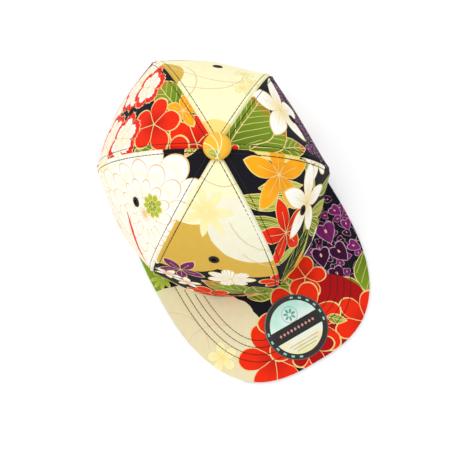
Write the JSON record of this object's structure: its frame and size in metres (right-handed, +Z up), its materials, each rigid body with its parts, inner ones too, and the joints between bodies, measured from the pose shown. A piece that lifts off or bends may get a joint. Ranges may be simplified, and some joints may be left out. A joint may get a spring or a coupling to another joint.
{
  "type": "flat-brim cap",
  "caption": "Structured cap with a flat brim, creased panels, a covered top button, worked eyelets and a snap closure behind an open arch.",
  "frame": {"origin": "under the middle of the cap's box, on the plane that the rim and the flat brim rest on", "axes": "+Z up through the top button, -Y towards the tip of the brim, +X towards the wearer's left"},
  "size_m": [0.174, 0.2714, 0.1167],
  "materials": {
    "print_cloth": "printed cotton twill, matt",
    "buckram": "stiffened open mesh, matt",
    "seam_tape": "woven twill tape, matt",
    "sweatband_cloth": "cotton twill, matt",
    "interlining": "soft felted backing",
    "label_satin": "blank satin tape",
    "dark_thread": "worked polyester thread",
    "button_metal": "pressed, bare",
    "snap_plastic": "moulded, semi-gloss",
    "board_plastic": "flat polyethylene sheet",
    "sticker_foil": "printed foil, glossy"
  },
  "bodies": {
    "crown": {"front_left_panel": "print_cloth", "side_left_panel": "print_cloth", "back_left_panel": "print_cloth", "back_right_panel": "print_cloth", "side_right_panel": "print_cloth", "front_right_panel": "print_cloth", "front_left_buckram": "buckram", "front_right_buckram": "buckram", "centre_seam_tape": "seam_tape", "front_left_seam_tape": "seam_tape", "back_left_seam_tape": "seam_tape", "back_right_seam_tape": "seam_tape", "front_right_seam_tape": "seam_tape", "arch_tape": "seam_tape", "sweatband_interlining": "interlining", "sweatband": "sweatband_cloth", "care_label": "label_satin", "front_left_eyelet": "dark_thread", "side_left_eyelet": "dark_thread", "back_left_eyelet": "dark_thread", "back_right_eyelet": "dark_thread", "side_right_eyelet": "dark_thread", "front_right_eyelet": "dark_thread", "button_cover": "print_cloth", "button_shell": "button_metal", "button_back": "button_metal", "hole_strap_tab": "snap_plastic", "stud_strap_tab": "snap_plastic", "brim_lower_cover": "print_cloth", "brim_board": "board_plastic", "brim_upper_cover": "print_cloth", "brim_sticker": "sticker_foil"},
    "hole_strap": {"hole_strap": "snap_plastic"},
    "stud_strap": {"stud_strap": "snap_plastic"}
  },
  "joints": [
    {"name": "hole_strap_open", "type": "hinge", "parent": "crown", "child": "hole_strap", "pos_m": [0.04, 0.1231, 0.002], "axis": [0, 0.3872, -0.922], "range_deg": [0, 68], "stiffness_Nm_per_rad": 0.005},
    {"name": "stud_strap_open", "type": "hinge", "parent": "crown", "child": "stud_strap", "pos_m": [-0.04, 0.1197, 0.002], "axis": [0, 0.3872, -0.922], "range_deg": [0, 30], "stiffness_Nm_per_rad": 0.005}
  ]
}
